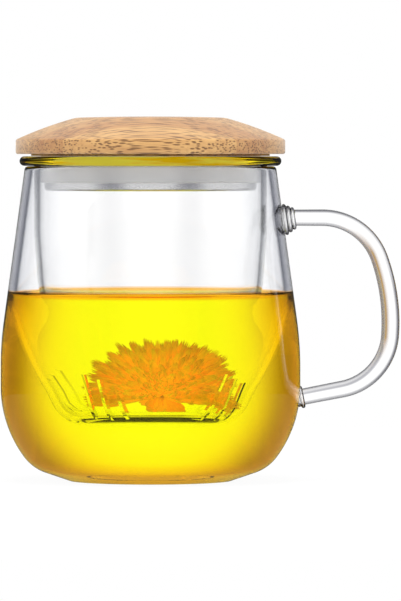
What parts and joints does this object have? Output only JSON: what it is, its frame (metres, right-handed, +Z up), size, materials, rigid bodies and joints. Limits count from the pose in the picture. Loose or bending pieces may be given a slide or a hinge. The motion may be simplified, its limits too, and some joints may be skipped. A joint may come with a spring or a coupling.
{
  "type": "lidded tea mug with infuser",
  "caption": "Round-bellied clear glass tea mug with a bent glass rod handle, a lift-out slotted glass infuser and a turned bamboo lid with a steel pan and silicone seal.",
  "frame": {"origin": "on the mug's axis, at the centre of its flat foot", "axes": "+Z up along the mug's axis, +X towards the handle, -Y towards the viewer"},
  "size_m": [0.1304, 0.098, 0.1191],
  "materials": {
    "mug_glass": "clear fire-polished glass",
    "handle_glass": "clear drawn glass rod",
    "infuser_glass": "clear glass, slits with ground faces",
    "bamboo": "sanded and lightly oiled glued bamboo",
    "steel": "fine spun stainless steel",
    "silicone": "translucent white silicone"
  },
  "bodies": {
    "mug": {"mug_body": "mug_glass", "handle_rod": "handle_glass", "handle_upper_collar": "handle_glass", "handle_lower_collar": "handle_glass"},
    "infuser": {"infuser_glass": "infuser_glass"},
    "lid": {"lid_strip_1": "bamboo", "lid_strip_2": "bamboo", "lid_strip_3": "bamboo", "lid_strip_4": "bamboo", "lid_strip_5": "bamboo", "lid_strip_6": "bamboo", "lid_strip_7": "bamboo", "lid_steel_pan": "steel", "lid_seal_ring": "silicone"}
  },
  "joints": [
    {"name": "infuser_lift", "type": "slide", "parent": "mug", "child": "infuser", "axis": [0, 0, 1], "range_m": [0, 0.09]},
    {"name": "lid_lift", "type": "slide", "parent": "infuser", "child": "lid", "axis": [0, 0, 1], "range_m": [0, 0.03]}
  ]
}
